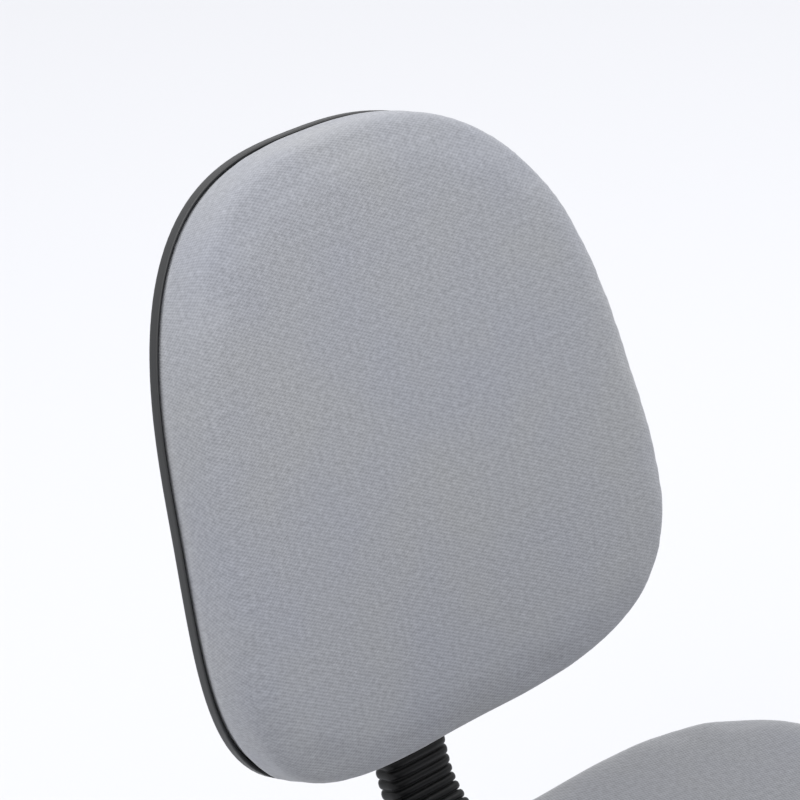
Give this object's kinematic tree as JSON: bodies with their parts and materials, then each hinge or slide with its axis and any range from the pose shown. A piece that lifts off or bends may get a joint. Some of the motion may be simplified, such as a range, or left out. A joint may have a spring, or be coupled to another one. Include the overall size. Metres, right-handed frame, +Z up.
{
  "type": "swivel chair",
  "caption": "Upholstered swivel desk chair without armrests: castored star base, gas lift, tilting back and a rounded backrest that slides on a flat upright with a ribbed bellows.",
  "frame": {"origin": "on the floor under the middle of the whole chair's box; the lift column's axis is 84 mm in front of it, towards -Y", "axes": "+Z up; the sitter faces -Y; +X to the sitter's left"},
  "size_m": [0.6444, 0.8286, 0.9887],
  "materials": {
    "base_nylon": "moulded black glass-filled nylon, satin",
    "castor_nylon": "moulded black nylon, satin",
    "wheel_nylon": "moulded black nylon wheel, satin",
    "zinc_steel": "bright zinc plate",
    "black_steel": "black powder coat, semi-matt",
    "spring_steel": "oiled spring steel",
    "bush_plastic": "acetal, natural grey",
    "cover_plastic": "blow-moulded black polypropylene",
    "handle_plastic": "moulded black polypropylene",
    "bellows_plastic": "soft black plastic with a low sheen",
    "shell_plastic": "textured charcoal polypropylene",
    "buffer_rubber": "black rubber",
    "plywood": "raw pressed beech plywood",
    "foam": "cut polyurethane foam",
    "back_fabric": "light grey hopsack weave upholstery",
    "seat_fabric": "grey ribbed-weave upholstery"
  },
  "bodies": {
    "base": {"base_star": "base_nylon", "castor_stems": "zinc_steel", "column_tube": "black_steel", "guide_bush": "bush_plastic", "thrust_bearing": "zinc_steel", "dust_cover_lower": "cover_plastic"},
    "spindle": {"piston_rod": "zinc_steel", "rod_buffer": "buffer_rubber", "retaining_clip": "spring_steel"},
    "lift": {"pressure_cylinder": "black_steel", "dust_cover_upper": "cover_plastic", "mechanism_body": "black_steel", "pivot_pin": "zinc_steel", "recline_spring": "spring_steel", "seat_pan": "plywood", "seat_foam": "foam", "seat_cover": "seat_fabric", "seat_shell": "shell_plastic", "seat_bolts": "zinc_steel", "seat_tee_nuts": "zinc_steel", "armrest_inserts": "zinc_steel"},
    "release_pin": {"release_pin": "zinc_steel"},
    "cover_middle": {"dust_cover_middle": "cover_plastic"},
    "height_lever": {"height_lever": "black_steel", "height_paddle": "handle_plastic"},
    "lock_lever": {"lock_lever": "black_steel", "lock_paddle": "handle_plastic"},
    "upright": {"back_rocker": "black_steel", "back_upright": "black_steel", "upright_bolts": "zinc_steel", "upright_bellows": "bellows_plastic"},
    "backrest": {"back_slide_guide": "black_steel", "clamp_plate": "zinc_steel", "guide_screws": "zinc_steel", "back_panel": "plywood", "back_foam": "foam", "back_cover": "back_fabric", "back_shell": "shell_plastic"},
    "clamp": {"clamp_knob": "handle_plastic", "clamp_stud": "zinc_steel"},
    "castor_1": {"castor_hood_1": "castor_nylon", "castor_axle_1": "zinc_steel"},
    "wheel_left_1": {"castor_wheel_left_1": "wheel_nylon"},
    "wheel_right_1": {"castor_wheel_right_1": "wheel_nylon"},
    "castor_2": {"castor_hood_2": "castor_nylon", "castor_axle_2": "zinc_steel"},
    "wheel_left_2": {"castor_wheel_left_2": "wheel_nylon"},
    "wheel_right_2": {"castor_wheel_right_2": "wheel_nylon"},
    "castor_3": {"castor_hood_3": "castor_nylon", "castor_axle_3": "zinc_steel"},
    "wheel_left_3": {"castor_wheel_left_3": "wheel_nylon"},
    "wheel_right_3": {"castor_wheel_right_3": "wheel_nylon"},
    "castor_4": {"castor_hood_4": "castor_nylon", "castor_axle_4": "zinc_steel"},
    "wheel_left_4": {"castor_wheel_left_4": "wheel_nylon"},
    "wheel_right_4": {"castor_wheel_right_4": "wheel_nylon"},
    "castor_5": {"castor_hood_5": "castor_nylon", "castor_axle_5": "zinc_steel"},
    "wheel_left_5": {"castor_wheel_left_5": "wheel_nylon"},
    "wheel_right_5": {"castor_wheel_right_5": "wheel_nylon"}
  },
  "joints": [
    {"name": "seat_swivel", "type": "hinge", "parent": "base", "child": "spindle", "pos_m": [0, -0.084, 0.1], "axis": [0, 0, 1], "continuous": true},
    {"name": "seat_height", "type": "slide", "parent": "spindle", "child": "lift", "axis": [0, 0, 1], "range_m": [-0.05, 0.07]},
    {"name": "cover_travel", "type": "slide", "parent": "spindle", "child": "cover_middle", "axis": [0, 0, 1], "range_m": [-0.025, 0.035]},
    {"name": "height_lever_lift", "type": "hinge", "parent": "lift", "child": "height_lever", "pos_m": [-0.0435, -0.084, 0.42545], "axis": [0, 1, 0], "range_deg": [0, 3.5], "stiffness_Nm_per_rad": 12, "springref_deg": -1.72},
    {"name": "release_pin_press", "type": "slide", "parent": "lift", "child": "release_pin", "axis": [0, 0, 1], "range_m": [-0.00266, 0]},
    {"name": "lock_lever_turn", "type": "hinge", "parent": "lift", "child": "lock_lever", "pos_m": [0, -0.044, 0.402], "axis": [1, 0, 0], "range_deg": [0, 20]},
    {"name": "back_recline", "type": "hinge", "parent": "lift", "child": "upright", "pos_m": [0, 0.006, 0.402], "axis": [-1, 0, 0], "range_deg": [-12, 5], "deforming": ["recline_spring"]},
    {"name": "back_height", "type": "slide", "parent": "upright", "child": "backrest", "axis": [0, 0.309, 0.9511], "range_m": [-0.02, 0.05], "deforming": ["upright_bellows"]},
    {"name": "clamp_turn", "type": "hinge", "parent": "backrest", "child": "clamp", "pos_m": [0, 0.37238, 0.64301], "axis": [0, -0.9511, 0.309], "range_deg": [-360, 360]},
    {"name": "castor_1_swivel", "type": "hinge", "parent": "base", "child": "castor_1", "pos_m": [0, -0.369, 0.055], "axis": [0, 0, 1], "continuous": true},
    {"name": "wheel_left_1_spin", "type": "hinge", "parent": "castor_1", "child": "wheel_left_1", "pos_m": [0, -0.387, 0.025], "axis": [1, 0, 0], "continuous": true},
    {"name": "wheel_right_1_spin", "type": "hinge", "parent": "castor_1", "child": "wheel_right_1", "pos_m": [0, -0.387, 0.025], "axis": [1, 0, 0], "continuous": true},
    {"name": "castor_2_swivel", "type": "hinge", "parent": "base", "child": "castor_2", "pos_m": [0.27105, -0.17207, 0.055], "axis": [0, 0, 1], "continuous": true},
    {"name": "wheel_left_2_spin", "type": "hinge", "parent": "castor_2", "child": "wheel_left_2", "pos_m": [0.28817, -0.17763, 0.025], "axis": [0.309, 0.9511, 0], "continuous": true},
    {"name": "wheel_right_2_spin", "type": "hinge", "parent": "castor_2", "child": "wheel_right_2", "pos_m": [0.28817, -0.17763, 0.025], "axis": [0.309, 0.9511, 0], "continuous": true},
    {"name": "castor_3_swivel", "type": "hinge", "parent": "base", "child": "castor_3", "pos_m": [0.16752, 0.14657, 0.055], "axis": [0, 0, 1], "continuous": true},
    {"name": "wheel_left_3_spin", "type": "hinge", "parent": "castor_3", "child": "wheel_left_3", "pos_m": [0.1781, 0.16113, 0.025], "axis": [-0.809, 0.5878, 0], "continuous": true},
    {"name": "wheel_right_3_spin", "type": "hinge", "parent": "castor_3", "child": "wheel_right_3", "pos_m": [0.1781, 0.16113, 0.025], "axis": [-0.809, 0.5878, 0], "continuous": true},
    {"name": "castor_4_swivel", "type": "hinge", "parent": "base", "child": "castor_4", "pos_m": [-0.16752, 0.14657, 0.055], "axis": [0, 0, 1], "continuous": true},
    {"name": "wheel_left_4_spin", "type": "hinge", "parent": "castor_4", "child": "wheel_left_4", "pos_m": [-0.1781, 0.16113, 0.025], "axis": [-0.809, -0.5878, 0], "continuous": true},
    {"name": "wheel_right_4_spin", "type": "hinge", "parent": "castor_4", "child": "wheel_right_4", "pos_m": [-0.1781, 0.16113, 0.025], "axis": [-0.809, -0.5878, 0], "continuous": true},
    {"name": "castor_5_swivel", "type": "hinge", "parent": "base", "child": "castor_5", "pos_m": [-0.27105, -0.17207, 0.055], "axis": [0, 0, 1], "continuous": true},
    {"name": "wheel_left_5_spin", "type": "hinge", "parent": "castor_5", "child": "wheel_left_5", "pos_m": [-0.28817, -0.17763, 0.025], "axis": [0.309, -0.9511, 0], "continuous": true},
    {"name": "wheel_right_5_spin", "type": "hinge", "parent": "castor_5", "child": "wheel_right_5", "pos_m": [-0.28817, -0.17763, 0.025], "axis": [0.309, -0.9511, 0], "continuous": true}
  ],
  "couplings": [
    {"joint": "cover_travel", "follows": "seat_height", "ratio": 0.5},
    {"joint": "release_pin_press", "follows": "height_lever_lift", "m_per_rad": -0.0435}
  ]
}
